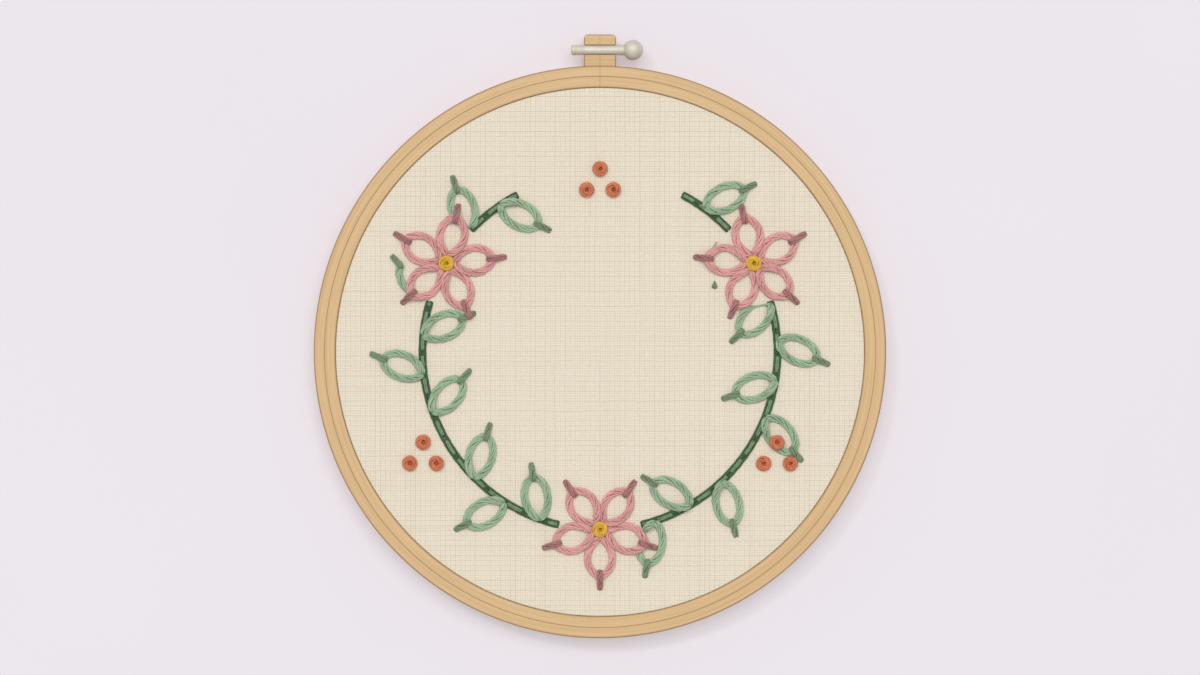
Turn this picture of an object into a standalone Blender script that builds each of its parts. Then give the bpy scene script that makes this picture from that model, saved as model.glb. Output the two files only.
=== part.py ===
"""Floral hoop embroidery in a wooden hoop, lying on its back.

A 6 inch embroidery hoop holds a round of linen. The linen carries a wreath in thick cotton: a stem
line, lazy-daisy leaves, three five-petalled flowers with a yellow knot, and three trios of red knots.

Metres, +Z out of the embroidered face, +Y towards the screw. The origin is under the middle of the
whole piece, at the back of the hoop. Angles are in degrees, counter-clockwise seen from the front.
"""
from math import asin, ceil, cos, degrees, hypot, pi, radians, sin

import bmesh
import bpy

MM = 0.001
SHARP_ANGLE = 40.0

# The wooden hoop
HOOP_RADIUS = 78.0 * MM
HOOP_BORE_RADIUS = 72.1 * MM
HOOP_DEPTH = 9.0 * MM
EDGE_ROUND = 0.6 * MM
PLY_LINE_RADIUS = 75.07 * MM
PLY_LINE_WIDTH = 0.3 * MM
PLY_LINE_DEPTH = 0.25 * MM
RING_SEGMENTS = 96

# The two lugs at the top, cut from one block and parted by the slit
LUG_TOP = 86.6 * MM
LUG_HALF_WIDTH = 4.37 * MM
LUG_BACK = 1.0 * MM
LUG_FRONT = 8.0 * MM
LUG_CORNER_RADIUS = 1.35 * MM
LUG_CORNER_STEPS = 3
SLIT_WIDTH = 0.5 * MM
CUTTER_MARGIN = 2.0 * MM

# The screw through the lugs
SCREW_RADIUS = 1.43 * MM
SCREW_CLEARANCE = 0.3 * MM
SCREW_FROM_CENTRE = 82.4 * MM
SCREW_HEIGHT = 7.0 * MM
SCREW_END_X = -7.9 * MM
SCREW_END_ROUND = 0.5 * MM
KNOB_RADIUS = 2.8 * MM
KNOB_X = 9.0 * MM
KNOB_STEPS = 7
SCREW_SEGMENTS = 20

# The lugs reach furthest, so the hoop's own centre lies a little below the middle of the whole piece
HOOP_CENTRE = (0.0, (HOOP_RADIUS - LUG_TOP) / 2)

# The linen and the plain inner hoop under it
GAP = 0.3 * MM
CLOTH_THICKNESS = 1.0 * MM
CLOTH_FRONT = 8.6 * MM
CLOTH_BACK = CLOTH_FRONT - CLOTH_THICKNESS
CLOTH_ROUND = 1.6 * MM
SKIRT_RADIUS = HOOP_BORE_RADIUS - GAP
SKIRT_HEM = 0.6 * MM
INNER_HOOP_RADIUS = SKIRT_RADIUS - CLOTH_THICKNESS - GAP
INNER_HOOP_WIDTH = 3.5 * MM
INNER_HOOP_DEPTH = CLOTH_BACK - GAP
INNER_HOOP_EDGE = 0.5 * MM

# Thread laid on the linen: an arch with a flat foot, as shares of its half width and height
THREAD_FOOT = CLOTH_FRONT + GAP
THREAD_HALF_WIDTH = 0.95 * MM
THREAD_HEIGHT = 1.1 * MM
THREAD_SECTION = ((-1.0, 0.0), (1.0, 0.0), (0.8, 0.6), (0.0, 1.0), (-0.8, 0.6))
OUTER_FACES = (1, 2)
CROWN = 3

# One chain stitch: half of its loop is a cubic curve from root to tip, its points (across, along),
# and the leg of the thread takes the part of it between two shares
PETAL_LOOP = ((0.0, 3.4 * MM), (0.0, 3.6 * MM), (8.0 * MM, 7.2 * MM), (0.0, 13.0 * MM))
PETAL_LEG = (0.27, 0.975)
LEAF_LOOP = ((0.0, 2.65 * MM), (3.2 * MM, 4.6 * MM), (4.6 * MM, 10.4 * MM), (0.0, 11.9 * MM))
LEAF_LEG = (0.2, 0.95)
LEG_STEPS = 6
CUT_LEG_STEPS = 12

# The short tie over the tip of a loop
TIE_HALF_WIDTH = 0.8 * MM
TIE_RISE = 0.25 * MM
PETAL_TIE_END = 16.1 * MM
LEAF_TIE_END = 15.6 * MM
TIE_PROBES = 8
SHORTEST_TIE = 0.6 * MM

# The wreath
WREATH_RADIUS = 48.5 * MM
STEM_FIRST_ANGLE = 27.8
STEM_LAST_ANGLE = 332.2
STEM_HALF_WIDTH = 1.035 * MM
STEM_HEIGHT = 1.0 * MM
STEM_STEP = 4.0 * MM
FLOWER_ANGLES = (60.0, 180.0, 300.0)
FLOWER_TO_STEM = 11.45 * MM
PETALS = 5
LEAF_FIRST_ANGLE = 34.5
LEAF_SPACING = 12.6
LEAF_LEAN = 62.0
LEAF_NUMBERS = (0, 1, 3, 4, 5, 6, 8, 9, 10, 13, 14, 15, 17, 18, 19, 20, 22, 23)
SHORTEST_LEAF_RUN = 4
COVER_GAP = 0.38 * MM
COVER_PROBES = 24

# The knots: radius and height as shares, from the foot to the rim of the dimple
KNOT_RADIUS = 2.08 * MM
KNOT_HEIGHT = 1.9 * MM
KNOT_PROFILE = ((0.8, 0.0), (1.0, 0.35), (0.8, 0.8), (0.45, 1.0), (0.15, 0.88))
KNOT_DIMPLE = 0.74
KNOT_SEGMENTS = 12
BERRY_TRIOS = (
    # angle round the wreath, distance from its middle
    (0.0, 46.1 * MM),
    (120.5, 56.1 * MM),
    (239.5, 56.1 * MM),
)
BERRY_PLACES = ((0.0, 3.8 * MM), (-3.63 * MM, -1.9 * MM), (3.63 * MM, -1.9 * MM))


def clear_scene():
    """Remove whatever the file holds."""
    for thing in list(bpy.data.objects):
        bpy.data.objects.remove(thing, do_unlink=True)


def finish(name, colour, roughness, metallic=0.0):
    """One plain finish."""
    material = bpy.data.materials.new(name)
    material.use_nodes = True
    shader = material.node_tree.nodes["Principled BSDF"]
    shader.inputs["Base Color"].default_value = (*colour, 1.0)
    shader.inputs["Roughness"].default_value = roughness
    shader.inputs["Metallic"].default_value = metallic
    return material


def piece(name, mesh, material, place=(*HOOP_CENTRE, 0.0), turn=0.0):
    """Put one named sub-part in its place, turned in the plane of the hoop."""
    thing = bpy.data.objects.new(name, mesh)
    bpy.context.scene.collection.objects.link(thing)
    thing.location = place
    thing.rotation_euler = (0.0, 0.0, radians(turn))
    if not mesh.materials:
        mesh.materials.append(material)
    return thing


def as_mesh(shape, name):
    """A smooth-shaded mesh that keeps its hard edges, all faces pointing out."""
    bmesh.ops.recalc_face_normals(shape, faces=shape.faces)
    mesh = bpy.data.meshes.new(name)
    shape.to_mesh(mesh)
    shape.free()
    mesh.shade_smooth()
    mesh.set_sharp_from_angle(angle=radians(SHARP_ANGLE))
    return mesh


def bridge(shape, low, high):
    """Faces between two rings of corners; either ring may be a single point."""
    count = max(len(low), len(high))
    for here in range(count):
        there = (here + 1) % count
        if len(low) == 1:
            shape.faces.new((low[0], high[there], high[here]))
        elif len(high) == 1:
            shape.faces.new((low[here], low[there], high[0]))
        else:
            shape.faces.new((low[here], low[there], high[there], high[here]))


def turned(name, profile, segments, about_x=False, closed=False):
    """Turn (radius, position) points about the Z or X axis; a closed profile makes a ring."""
    shape = bmesh.new()
    rings = []
    for radius, position in profile:
        ring = []
        for step in range(segments if radius else 1):
            angle = 2 * pi * step / segments
            u, v = radius * cos(angle), radius * sin(angle)
            ring.append(shape.verts.new((position, u, v) if about_x else (u, v, position)))
        rings.append(ring)
    for low, high in zip(rings, rings[1:]):
        bridge(shape, low, high)
    if closed:
        bridge(shape, rings[-1], rings[0])
    return as_mesh(shape, name)


def prism(name, outline, low, high):
    """An outline in X and Y, raised from one height to another."""
    shape = bmesh.new()
    face = shape.faces.new([shape.verts.new((x, y, low)) for x, y in outline])
    grown = bmesh.ops.extrude_face_region(shape, geom=[face])
    top = [part for part in grown["geom"] if isinstance(part, bmesh.types.BMVert)]
    bmesh.ops.translate(shape, verts=top, vec=(0.0, 0.0, high - low))
    return as_mesh(shape, name)


def boolean(target, tool, operation):
    """Join a helper body to a piece, or cut it away; the helper itself stays out of the object."""
    tool.hide_render = True
    tool.display_type = "WIRE"
    change = target.modifiers.new(operation.title(), "BOOLEAN")
    change.operation = operation
    change.solver = "EXACT"
    change.object = tool


def hoop_profile():
    """The outer ring's section: soft front edges, and the line where its two plies meet."""
    soft = EDGE_ROUND * (1 - cos(pi / 4))
    line = PLY_LINE_WIDTH / 2
    return (
        (HOOP_BORE_RADIUS + EDGE_ROUND, 0.0),
        (HOOP_RADIUS - EDGE_ROUND, 0.0),
        (HOOP_RADIUS, EDGE_ROUND),
        (HOOP_RADIUS, HOOP_DEPTH - EDGE_ROUND),
        (HOOP_RADIUS - soft, HOOP_DEPTH - soft),
        (HOOP_RADIUS - EDGE_ROUND, HOOP_DEPTH),
        (PLY_LINE_RADIUS + line, HOOP_DEPTH),
        (PLY_LINE_RADIUS, HOOP_DEPTH - PLY_LINE_DEPTH),
        (PLY_LINE_RADIUS - line, HOOP_DEPTH),
        (HOOP_BORE_RADIUS + EDGE_ROUND, HOOP_DEPTH),
        (HOOP_BORE_RADIUS + soft, HOOP_DEPTH - soft),
        (HOOP_BORE_RADIUS, HOOP_DEPTH - EDGE_ROUND),
        (HOOP_BORE_RADIUS, EDGE_ROUND),
    )


def lug_outline():
    """Both lugs as one block: its foot inside the ring, its two top corners rounded."""
    foot = (HOOP_BORE_RADIUS + HOOP_RADIUS) / 2
    points = [(-LUG_HALF_WIDTH, foot), (LUG_HALF_WIDTH, foot)]
    for side, first_angle in ((1, 0.0), (-1, 90.0)):
        for step in range(LUG_CORNER_STEPS + 1):
            angle = radians(first_angle + 90.0 * step / LUG_CORNER_STEPS)
            x = side * (LUG_HALF_WIDTH - LUG_CORNER_RADIUS) + LUG_CORNER_RADIUS * cos(angle)
            y = LUG_TOP - LUG_CORNER_RADIUS + LUG_CORNER_RADIUS * sin(angle)
            points.append((x, y))
    return points


def make_outer_hoop(wood):
    """The outer ring with its lugs, slit through at the top and drilled for the screw."""
    hoop = piece("outer_hoop", turned("outer_hoop", hoop_profile(), RING_SEGMENTS, closed=True), wood)
    lugs = piece("lugs", prism("lugs", lug_outline(), LUG_BACK, LUG_FRONT), wood)
    boolean(hoop, lugs, "UNION")
    half, near, far = SLIT_WIDTH / 2, HOOP_BORE_RADIUS - CUTTER_MARGIN, LUG_TOP + CUTTER_MARGIN
    slit_outline = ((-half, near), (half, near), (half, far), (-half, far))
    slit = prism("slit", slit_outline, -CUTTER_MARGIN, HOOP_DEPTH + CUTTER_MARGIN)
    boolean(hoop, piece("slit", slit, wood), "DIFFERENCE")
    reach = LUG_HALF_WIDTH + CUTTER_MARGIN
    radius = SCREW_RADIUS + SCREW_CLEARANCE
    bore_profile = ((0.0, -reach), (radius, -reach), (radius, reach), (0.0, reach))
    bore = turned("bore", bore_profile, SCREW_SEGMENTS, about_x=True)
    boolean(hoop, piece("bore", bore, wood, screw_middle()), "DIFFERENCE")


def screw_middle():
    """Where the screw's axis crosses the slit."""
    return HOOP_CENTRE[0], HOOP_CENTRE[1] + SCREW_FROM_CENTRE, SCREW_HEIGHT


def make_screw(metal):
    """The tightening screw: a round bar with a soft end and a ball knob."""
    profile = [
        (0.0, SCREW_END_X),
        (SCREW_RADIUS - SCREW_END_ROUND, SCREW_END_X),
        (SCREW_RADIUS, SCREW_END_X + SCREW_END_ROUND),
    ]
    neck = pi - asin(SCREW_RADIUS / KNOB_RADIUS)
    for step in range(KNOB_STEPS):
        angle = neck * (1 - step / KNOB_STEPS)
        profile.append((KNOB_RADIUS * sin(angle), KNOB_X + KNOB_RADIUS * cos(angle)))
    profile.append((0.0, KNOB_X + KNOB_RADIUS))
    piece("screw", turned("screw", profile, SCREW_SEGMENTS, about_x=True), metal, screw_middle())


def make_inner_hoop(wood):
    """The plain ring that the linen is stretched over."""
    bore, edge = INNER_HOOP_RADIUS - INNER_HOOP_WIDTH, INNER_HOOP_EDGE
    profile = (
        (bore + edge, 0.0),
        (INNER_HOOP_RADIUS - edge, 0.0),
        (INNER_HOOP_RADIUS, edge),
        (INNER_HOOP_RADIUS, INNER_HOOP_DEPTH - edge),
        (INNER_HOOP_RADIUS - edge, INNER_HOOP_DEPTH),
        (bore + edge, INNER_HOOP_DEPTH),
        (bore, INNER_HOOP_DEPTH - edge),
        (bore, edge),
    )
    piece("inner_hoop", turned("inner_hoop", profile, RING_SEGMENTS, closed=True), wood)


def make_cloth(linen):
    """The linen: a flat taut face, turned down over the inner hoop into a skirt between the hoops."""
    inside = CLOTH_ROUND - CLOTH_THICKNESS
    slant = 1 - cos(pi / 4)
    profile = (
        (0.0, CLOTH_FRONT),
        (SKIRT_RADIUS - CLOTH_ROUND, CLOTH_FRONT),
        (SKIRT_RADIUS - CLOTH_ROUND * slant, CLOTH_FRONT - CLOTH_ROUND * slant),
        (SKIRT_RADIUS, CLOTH_FRONT - CLOTH_ROUND),
        (SKIRT_RADIUS, SKIRT_HEM),
        (SKIRT_RADIUS - CLOTH_THICKNESS, SKIRT_HEM),
        (SKIRT_RADIUS - CLOTH_THICKNESS, CLOTH_BACK - inside),
        (SKIRT_RADIUS - CLOTH_THICKNESS - inside * slant, CLOTH_BACK - inside * slant),
        (SKIRT_RADIUS - CLOTH_THICKNESS - inside, CLOTH_BACK),
        (0.0, CLOTH_BACK),
    )
    piece("cloth", turned("cloth", profile, RING_SEGMENTS), linen)


def loop_side(share, loop):
    """A point on the right half of a chain stitch, from its root (share 0) to its tip (share 1)."""
    rest = 1 - share
    weights = (rest**3, 3 * rest**2 * share, 3 * rest * share**2, share**3)
    across = sum(weight * point[0] for weight, point in zip(weights, loop))
    along = sum(weight * point[1] for weight, point in zip(weights, loop))
    return across, along


def loop_line(loop, leg, leg_steps):
    """The whole loop's centreline: its root, up the right leg, and down the left one."""
    step = (leg[1] - leg[0]) / leg_steps
    right = [loop_side(leg[0] + step * number, loop) for number in range(leg_steps + 1)]
    left = [(-across, along) for across, along in reversed(right)]
    return [loop[0], *right, *left]


def pull_tie(shape, rings, end):
    """Raise a loop where its tie crosses it, between two rings of corners, and draw the tie out."""
    for ring in rings:
        ring[CROWN].co.z += TIE_RISE
    corners = {ring[side + near] for ring in rings for side in OUTER_FACES for near in (0, 1)}
    faces = [face for face in shape.faces if corners.issuperset(face.verts)]
    grown = bmesh.ops.extrude_face_region(shape, geom=faces)
    for corner in grown["geom"]:
        if isinstance(corner, bmesh.types.BMVert):
            corner.co.x = TIE_HALF_WIDTH if corner.co.x > 0 else -TIE_HALF_WIDTH
            corner.co.y = end
    bmesh.ops.delete(shape, geom=faces, context="FACES")


def thread(name, line, half_width, height, closed=False, tip=None, tie_end=None):
    """A thread laid along a line, and the tie pulled out of its segment number tip."""
    shape = bmesh.new()
    count = len(line)
    rings = []
    for number, (x, y) in enumerate(line):
        before = line[number - 1] if closed or number else line[0]
        after = line[(number + 1) % count] if closed or number < count - 1 else line[-1]
        run = hypot(after[0] - before[0], after[1] - before[1])
        right = ((after[1] - before[1]) / run, (before[0] - after[0]) / run)
        ring = []
        for across, up in THREAD_SECTION:
            reach = across * half_width
            ring.append(shape.verts.new((x + right[0] * reach, y + right[1] * reach, up * height)))
        rings.append(ring)
    for low, high in zip(rings, rings[1:]):
        bridge(shape, low, high)
    if closed:
        bridge(shape, rings[-1], rings[0])
    else:
        shape.faces.new(rings[0])
        shape.faces.new(rings[-1])
    if tie_end is not None:
        pull_tie(shape, rings[tip:tip + 2], tie_end)
    return as_mesh(shape, name)


def wreath_point(radius, angle):
    """A point on the linen, at an angle from the top."""
    return (HOOP_CENTRE[0] - radius * sin(radians(angle)), HOOP_CENTRE[1] + radius * cos(radians(angle)))


def on_linen(point, place, turn):
    """A stitch's own (across, along) point, in the hoop's plane."""
    c, s = cos(radians(turn)), sin(radians(turn))
    return (place[0] + c * point[0] - s * point[1], place[1] + s * point[0] + c * point[1])


def make_stems(green):
    """The stem line's four runs, between the flowers."""
    gap = degrees(2 * asin(FLOWER_TO_STEM / (2 * WREATH_RADIUS)))
    stops = [STEM_FIRST_ANGLE]
    for angle in FLOWER_ANGLES:
        stops += [angle - gap, angle + gap]
    stops.append(STEM_LAST_ANGLE)
    for number, (first, last) in enumerate(zip(stops[::2], stops[1::2]), start=1):
        steps = ceil(radians(last - first) * WREATH_RADIUS / STEM_STEP)
        angles = [radians(first + (last - first) * step / steps) for step in range(steps + 1)]
        line = [(-WREATH_RADIUS * sin(angle), WREATH_RADIUS * cos(angle)) for angle in angles]
        name = f"stem_{number}"
        run = thread(name, line, STEM_HALF_WIDTH, STEM_HEIGHT)
        piece(name, run, green, (*HOOP_CENTRE, THREAD_FOOT))


def make_flowers(pink, yellow):
    """Three flowers of five chain-stitch petals, each with a knot in the middle. Gives what they cover."""
    line = loop_line(PETAL_LOOP, PETAL_LEG, LEG_STEPS)
    petal = thread("petal", line, THREAD_HALF_WIDTH, THREAD_HEIGHT, True, LEG_STEPS + 1, PETAL_TIE_END)
    knot = knot_mesh("centre")
    shares = [step / COVER_PROBES for step in range(COVER_PROBES + 1)]
    loop_cover = [loop_side(share, PETAL_LOOP) for share in shares]
    tip = PETAL_LOOP[-1][1]
    tie_cover = [(0.0, tip + (PETAL_TIE_END - tip) * share) for share in shares]
    covered = []
    for flower, angle in enumerate(FLOWER_ANGLES, start=1):
        middle = wreath_point(WREATH_RADIUS, angle)
        piece(f"centre_{flower}", knot, yellow, (*middle, THREAD_FOOT))
        covered.append((middle, KNOT_RADIUS))
        for number in range(PETALS):
            turn = angle + 360.0 * number / PETALS
            piece(f"petal_{flower}_{number + 1}", petal, pink, (*middle, THREAD_FOOT), turn)
            for across, along in loop_cover + tie_cover:
                for side in (across, -across):
                    covered.append((on_linen((side, along), middle, turn), THREAD_HALF_WIDTH))
    return covered


def knot_mesh(name):
    """A French knot: a low round dome with a dimple."""
    profile = [(0.0, 0.0)]
    profile += [(KNOT_RADIUS * radius, KNOT_HEIGHT * height) for radius, height in KNOT_PROFILE]
    profile.append((0.0, KNOT_HEIGHT * KNOT_DIMPLE))
    return turned(name, profile, KNOT_SEGMENTS)


def make_berries(red):
    """Three trios of knots. Gives what they cover."""
    knot = knot_mesh("berry")
    covered = []
    for trio, (angle, distance) in enumerate(BERRY_TRIOS, start=1):
        middle = wreath_point(distance, angle)
        for number, (across, up) in enumerate(BERRY_PLACES, start=1):
            place = (middle[0] + across, middle[1] + up)
            piece(f"berry_{trio}_{number}", knot, red, (*place, THREAD_FOOT))
            covered.append((place, KNOT_RADIUS))
    return covered


def is_clear(point, covered):
    """Whether a leaf's thread can lie at a point without meeting what is stitched over it."""
    room = THREAD_HALF_WIDTH + COVER_GAP
    return all(hypot(point[0] - spot[0], point[1] - spot[1]) > radius + room for spot, radius in covered)


def clear_runs(flags):
    """Each unbroken run of true flags round a closed loop, as lists of their numbers in order."""
    count = len(flags)
    if all(flags):
        return [list(range(count))]
    runs = [[]]
    first = flags.index(False)
    for step in range(first, first + count):
        if flags[step % count]:
            runs[-1].append(step % count)
        elif runs[-1]:
            runs.append([])
    return [run for run in runs if len(run) >= SHORTEST_LEAF_RUN]


def clear_tie_end(place, turn, covered):
    """How far a leaf's tie reaches before something is stitched over it, or nothing if it has no room."""
    end = None
    first = LEAF_LOOP[-1][1] + THREAD_HALF_WIDTH + SHORTEST_TIE
    for probe in range(TIE_PROBES + 1):
        along = first + (LEAF_TIE_END - first) * probe / TIE_PROBES
        if not is_clear(on_linen((0.0, along), place, turn), covered):
            break
        end = along
    return end


def make_leaves(green, covered):
    """Leaves on both sides of the stem by turns, each as far as no flower or knot lies over it.

    One that a flower covers whole leaves no solid, and one that a flower crosses may leave two.
    """
    whole_line = loop_line(LEAF_LOOP, LEAF_LEG, LEG_STEPS)
    whole = thread("leaf", whole_line, THREAD_HALF_WIDTH, THREAD_HEIGHT, True, LEG_STEPS + 1, LEAF_TIE_END)
    line = loop_line(LEAF_LOOP, LEAF_LEG, CUT_LEG_STEPS)
    tip = CUT_LEG_STEPS + 1
    for number in LEAF_NUMBERS:
        angle = LEAF_FIRST_ANGLE + LEAF_SPACING * number
        outward = number % 2 == 1
        turn = angle - 90.0 + (LEAF_LEAN if outward else -LEAF_LEAN)
        middle = wreath_point(WREATH_RADIUS, angle)
        place = (*middle, THREAD_FOOT)
        name = f"leaf_{number:02d}"
        runs = clear_runs([is_clear(on_linen(point, middle, turn), covered) for point in line])
        tie_end = clear_tie_end(middle, turn, covered)
        if tie_end == LEAF_TIE_END and runs == [list(range(len(line)))]:
            piece(name, whole, green, place, turn)
            continue
        for run, letter in zip(runs, ("", "b")):
            points = [line[step] for step in run]
            closed = len(run) == len(line)
            has_tie = tip in run and tip + 1 in run and tie_end is not None
            tie = (run.index(tip), tie_end) if has_tie else (None, None)
            part = thread(name + letter, points, THREAD_HALF_WIDTH, THREAD_HEIGHT, closed, *tie)
            piece(name + letter, part, green, place, turn)


clear_scene()
make_outer_hoop(finish("pale beech", (0.70, 0.48, 0.26), 0.5))
make_inner_hoop(finish("inner beech", (0.70, 0.48, 0.26), 0.55))
make_screw(finish("nickel", (0.62, 0.57, 0.49), 0.35, 1.0))
make_cloth(finish("natural linen", (0.78, 0.70, 0.56), 0.9))
make_stems(finish("dark green cotton", (0.054, 0.122, 0.058), 0.75))
overlaid = make_flowers(
    finish("dusty pink cotton", (0.58, 0.26, 0.25), 0.75),
    finish("golden cotton", (0.64, 0.36, 0.05), 0.75),
)
overlaid += make_berries(finish("rust red cotton", (0.54, 0.14, 0.075), 0.75))
make_leaves(finish("sage green cotton", (0.28, 0.40, 0.25), 0.75), overlaid)
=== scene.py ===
"""Floral hoop embroidery in a wooden hoop: its wood, linen, screw and every stitch, lit for the camera.

Metres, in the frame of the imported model: +Z out of the embroidered face, +Y towards the screw. Angles
round the wreath are in degrees from the top, counter-clockwise seen from the front.
"""
from math import acos, ceil, cos, degrees, pi, radians, sin, sqrt

import bmesh
import bpy
import numpy as np
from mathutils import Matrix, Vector, noise


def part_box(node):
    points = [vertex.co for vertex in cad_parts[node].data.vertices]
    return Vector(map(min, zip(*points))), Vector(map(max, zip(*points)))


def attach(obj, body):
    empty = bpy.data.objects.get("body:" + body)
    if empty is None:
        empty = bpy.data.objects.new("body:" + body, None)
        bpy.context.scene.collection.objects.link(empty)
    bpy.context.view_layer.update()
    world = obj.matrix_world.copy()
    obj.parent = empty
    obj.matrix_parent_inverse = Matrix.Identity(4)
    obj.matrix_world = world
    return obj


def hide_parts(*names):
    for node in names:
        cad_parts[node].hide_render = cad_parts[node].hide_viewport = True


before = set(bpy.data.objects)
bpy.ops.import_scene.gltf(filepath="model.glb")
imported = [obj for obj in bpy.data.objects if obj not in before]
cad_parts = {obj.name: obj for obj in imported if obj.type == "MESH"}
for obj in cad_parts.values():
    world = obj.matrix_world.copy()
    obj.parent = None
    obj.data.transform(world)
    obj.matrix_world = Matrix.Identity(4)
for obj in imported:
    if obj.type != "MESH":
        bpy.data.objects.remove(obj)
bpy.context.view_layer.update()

# Inner hoop
# A plain strip of beech, bent round and glued where its two ends overlap in a long scarf joint.
# The linen is stretched over it, so it is seen from behind only.
MM = 0.001
INNER_LOW, INNER_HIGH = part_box("inner_hoop")
HOOP_MIDDLE = (INNER_LOW + INNER_HIGH) / 2
INNER_RADIUS = (INNER_HIGH.x - INNER_LOW.x) / 2
INNER_WIDTH = 3.5 * MM
INNER_EDGE = 0.5 * MM
FLAT_BESIDE_EDGE = 0.15 * MM
ROUND_STEPS = 256
SCARF_ANGLE = 143.0
SCARF_GAP = 0.1
SCARF_GROOVE = 0.12 * MM
SCARF_LEAN = 900.0
SCARF_REACH = 9.0
BEECH_PALE = (221, 187, 140)
BEECH_DARK = (201, 165, 117)
# The dark tone of the wood's flecks, also used as painted shade along the hoop's edges, groove and bore.
BEECH_FLECK_AND_EDGE_SHADE = (150, 113, 72)
EDGE_SHADE_DEPTH = 1.1 * MM
GRAIN_RELIEF = 0.03 * MM
STREAKS = (2.6, 2.4, 5.0)
FLECKS = (42.0, 7.0, 2.0)


def paint(colour):
    """A colour as it is seen, 0 to 255, turned into the light that it gives back."""
    parts = [part / 255 for part in colour]
    return (*((part / 12.92 if part <= 0.04045 else ((part + 0.055) / 1.055) ** 2.4) for part in parts), 1.0)


def wire(tree, kind, *inputs, out=0, **choices):
    """Add a shader node, with its inputs in order either joined to sockets or set to plain values."""
    made = tree.nodes.new("ShaderNode" + kind)
    for choice, value in choices.items():
        setattr(made, choice, value)
    for socket, value in zip(made.inputs, inputs):
        if isinstance(value, bpy.types.NodeSocket):
            tree.links.new(value, socket)
        elif value is not None:
            socket.default_value = value
    return made.outputs[out]


def finish(name, roughness, **sockets):
    """A new material with its shader, which has plain values for its roughness and its other sockets."""
    material = bpy.data.materials.new(name)
    material.use_nodes = True
    shader = material.node_tree.nodes["Principled BSDF"]
    shader.inputs["Roughness"].default_value = roughness
    for socket, value in sockets.items():
        shader.inputs[socket.replace("_", " ")].default_value = value
    return material, material.node_tree, shader


def relief(tree, shader, height, depth, strength=1.0):
    """Give a surface fine relief from a height socket, 0 to 1 over a depth in metres."""
    bump = tree.nodes.new("ShaderNodeBump")
    bump.inputs["Strength"].default_value = strength
    bump.inputs["Distance"].default_value = depth
    tree.links.new(height, bump.inputs["Height"])
    tree.links.new(bump.outputs["Normal"], shader.inputs["Normal"])


def colour_by(tree, shader, colour):
    """Join a colour socket to the shader."""
    tree.links.new(colour, shader.inputs["Base Color"])


def near(tree, value, place, reach):
    """1 where a value meets a place, falling to 0 at a reach to either side."""
    away = wire(tree, "Math", wire(tree, "Math", value, place, operation="SUBTRACT"), operation="ABSOLUTE")
    return wire(tree, "MapRange", away, 0.0, reach, 1.0, 0.0, interpolation_type="SMOOTHSTEP")


def beech(name, shaded_face, edge_shade_lines):
    """Bent beech: fine streaks and flecks run round the hoop, and painted shade darkens lines along one
    face's edges.
    """
    material, tree, shader = finish(name, 0.5, Specular_IOR_Level=0.35)
    place = wire(tree, "TexCoord", out="Object")
    away = wire(tree, "VectorMath", place, (*HOOP_MIDDLE.xy, 0.0), operation="SUBTRACT")
    flat = wire(tree, "VectorMath", away, (1.0, 1.0, 0.0), operation="MULTIPLY")
    radius = wire(tree, "VectorMath", flat, operation="LENGTH", out="Value")
    heading = wire(tree, "VectorMath", flat, operation="NORMALIZE")
    height = wire(tree, "SeparateXYZ", place, out="Z")
    across = wire(tree, "Math", wire(tree, "SeparateXYZ", place, out="X"), operation="ABSOLUTE")
    measures = {"round": radius, "across": across, "along": wire(tree, "SeparateXYZ", place, out="Y")}
    streaks = []
    for turns, fine, detail in (STREAKS, FLECKS):
        along = wire(tree, "VectorMath", heading, (turns, turns, 0.0), operation="MULTIPLY")
        out = wire(tree, "Math", radius, fine / MM, operation="MULTIPLY")
        up = wire(tree, "Math", height, fine / MM, operation="MULTIPLY")
        where = wire(tree, "VectorMath", along, wire(tree, "CombineXYZ", 0.0, 0.0, out), operation="ADD")
        streaks.append(wire(tree, "TexNoise", where, up, 1.0, detail, 0.6, noise_dimensions="4D"))
    grain = wire(tree, "MapRange", streaks[0], 0.32, 0.7, 0.0, 1.0)
    flecks = wire(tree, "MapRange", streaks[1], 0.66, 0.8, 0.0, 0.35)
    tint = wire(tree, "MixRGB", grain, paint(BEECH_PALE), paint(BEECH_DARK))
    tint = wire(tree, "MixRGB", flecks, tint, paint(BEECH_FLECK_AND_EDGE_SHADE))
    # Painted shade: the colour darkens along each listed line near the one face, standing in for shade at its
    # edges and grooves.
    on_face = near(tree, height, shaded_face, EDGE_SHADE_DEPTH)
    for measure, line, reach, share in edge_shade_lines:
        tone = wire(tree, "Math", near(tree, measures[measure], line, reach), share, operation="MULTIPLY")
        tone = wire(tree, "Math", tone, on_face, operation="MULTIPLY")
        tint = wire(tree, "MixRGB", tone, tint, paint(BEECH_FLECK_AND_EDGE_SHADE))
    colour_by(tree, shader, tint)
    relief(tree, shader, wire(tree, "Math", streaks[0], streaks[1], operation="ADD"), GRAIN_RELIEF, 0.6)
    return material


def strip_section(bore, rim, back, front, edges, steps=3):
    """The section of a bent strip as (radius, height) points, its edges rounded over from the rim's front."""
    points = []
    corners = ((rim, front, 1, 1), (bore, front, -1, 1), (bore, back, -1, -1), (rim, back, 1, -1))
    for number, ((radius, height, out, up), edge) in enumerate(zip(corners, edges)):
        for step in range(-1, steps + 2):
            turned = min(max(step, 0), steps)
            angle = radians(90.0 * (number + turned / steps))
            onto_flat = FLAT_BESIDE_EDGE * (step - turned)
            points.append((radius + edge * (cos(angle) - out) - onto_flat * sin(angle),
                           height + edge * (sin(angle) - up) + onto_flat * cos(angle)))
    return points


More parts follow.
